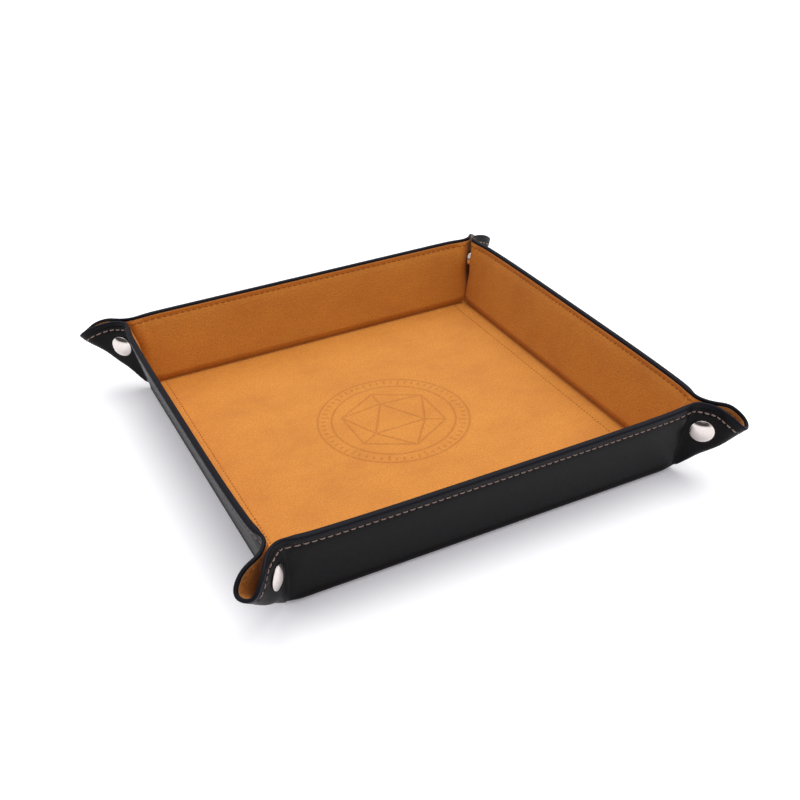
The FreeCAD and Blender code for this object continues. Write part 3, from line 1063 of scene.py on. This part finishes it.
def caps():
    profile = cap_profile()
    turn = np.arange(CAP_TURNS) * 2 * pi / CAP_TURNS
    seat = CORNER + TO_SNAP * SNAP_REACH + ACROSS * (SNAP_HALF_GAP + LEATHER / cos(EAR_SPREAD))
    seat = seat - ACROSS * ((TO_SNAP * SNAP_REACH) @ ACROSS)
    up = np.array((0, 0, 1.0))
    level = np.cross(up, ACROSS)
    ring = level * np.cos(turn)[:, None] + up * np.sin(turn)[:, None]
    middle = profile[1:-1]
    points = seat + middle[:, None, :1] * ring[None] + middle[:, None, 1:] * ACROSS
    ends = np.array([seat + ACROSS * profile[i, 1] for i in (0, -1)])
    points = np.concatenate((points.reshape(-1, 3), ends))
    outward = lathe_faces(len(middle), CAP_TURNS)
    mirrored = [face[::-1] for face in outward]
    for corner, wall, quarter, along in half_ears():
        made = turned(points * np.array((1, along, 1)), quarter)
        piece = make_mesh(f"{corner}_snap_cap_{wall}", made, outward if along > 0 else mirrored,
                          made[:, :2], None, f"{corner}_ear_{wall}")
        dress(piece, NICKEL, "snap_metal", f"{corner}_cap_{wall}")


def finish_cad_nodes():
    """The floor's board, the sockets and the studs keep their CAD shapes."""
    for name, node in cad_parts.items():
        material = BOARD if name.endswith("_board") else NICKEL
        if name.endswith(("_board", "_socket", "_stud")):
            node.data.materials.clear()
            node.data.materials.append(material)


for side in LAYERS:
    floor_panel(side)
walls()
boards()
ears()
seams()
floor_stitches()
caps()
finish_cad_nodes()


# ---- studio ----------------------------------------------------------------------------
def studio_floor():
    n = surface("studio_white")
    where = n.add("ShaderNodeTexCoord").outputs["Object"]
    tone = n.ramp(n.noise(where, 3.0, 2), ((0.3, (0.93, 0.93, 0.935)), (0.7, (0.95, 0.95, 0.955))))
    n.finish({"Base Color": tone}, Roughness=0.9, Specular_IOR_Level=0.2,
             Emission_Color=(1, 0.97, 1.05, 1), Emission_Strength=0.15)
    half = 6.0               # metres
    mesh = bpy.data.meshes.new("studio_floor")
    corners = [(-half, -half, 0), (half, -half, 0), (half, half, 0), (-half, half, 0)]
    mesh.from_pydata(corners, [], [(0, 1, 2, 3)])
    mesh.materials.append(n.owner)
    floor = bpy.data.objects.new("studio_floor", mesh)
    floor.location.z = -0.0003
    bpy.context.scene.collection.objects.link(floor)


def studio_sky():
    """White all round, with a dark stand low on the left and on the right to reflect;
    the backdrop itself is plain white."""
    n = Nodes(bpy.data.worlds.new("studio"), "Background")
    bpy.context.scene.world = n.owner
    way = n.add("ShaderNodeTexCoord").outputs["Generated"]
    up = n.add("ShaderNodeSeparateXYZ", {0: way}).outputs["Z"]
    links = {0: way, 1: (0.9, 0.437, 0)}
    right = n.add("ShaderNodeVectorMath", links, operation="DOT_PRODUCT").outputs["Value"]
    beside = n.math("ABSOLUTE", right)

    def step(value, low, high):
        links = {"Value": value, "From Min": low, "From Max": high}
        return n.add("ShaderNodeMapRange", links, interpolation_type="SMOOTHSTEP").outputs[0]

    stand = n.math("MULTIPLY", step(beside, 0.5, 0.75), step(up, 0.07, 0.11))
    stand = n.math("MULTIPLY", stand, step(up, 0.42, 0.34))
    glow = n.math("MULTIPLY_ADD", step(up, 0.09, 0.0), 0.35, 0.80)
    around = n.math("MULTIPLY_ADD", stand, -0.72, glow)
    seen = n.add("ShaderNodeLightPath").outputs["Is Camera Ray"]
    n.tree.links.new(n.math("MAXIMUM", seen, around), n.shader.inputs[1])
    n.shader.inputs[0].default_value = (1, 0.99, 1.02, 1)


def overhead_light():
    light = bpy.data.lights.new("overhead", "SUN")
    light.energy = 2.15
    light.angle = radians(65)
    lamp = bpy.data.objects.new("overhead", light)
    lamp.rotation_euler = (radians(-12), radians(16), 0)
    bpy.context.scene.collection.objects.link(lamp)


def camera():
    """The photograph's camera. Lengths in the image are pixels of an 800 x 800 frame."""
    frame_size, sensor = 800, 36
    azimuth, elevation, roll = radians(-25.93), radians(32.0), radians(-1.85)
    distance, focal = 613.9, 1097.8
    centre_x, centre_y = 393.66, 423.9     # where the middle of the tray appears
    back = np.array((sin(azimuth) * cos(elevation), -cos(azimuth) * cos(elevation), sin(elevation)))
    right = np.array((cos(azimuth), sin(azimuth), 0))
    up = np.cross(back, right)
    level = right * cos(roll) + up * sin(roll)
    upright = up * cos(roll) - right * sin(roll)
    turn = np.stack((level, upright, back))
    off_x = (centre_x - frame_size / 2) / focal * distance
    off_y = -(centre_y - frame_size / 2) / focal * distance
    place = turn.T @ np.array((-off_x, -off_y, distance))
    data = bpy.data.cameras.new("camera")
    data.sensor_width = sensor
    data.lens = focal / frame_size * sensor
    data.clip_start = 0.01
    eye = bpy.data.objects.new("camera", data)
    matrix = np.eye(4)
    matrix[:3, :3] = turn.T
    matrix[:3, 3] = place * MM
    eye.matrix_world = Matrix(matrix.tolist())
    bpy.context.scene.collection.objects.link(eye)
    bpy.context.scene.camera = eye


studio_floor()
studio_sky()
overhead_light()
camera()
bpy.context.scene.view_settings.view_transform = "Standard"
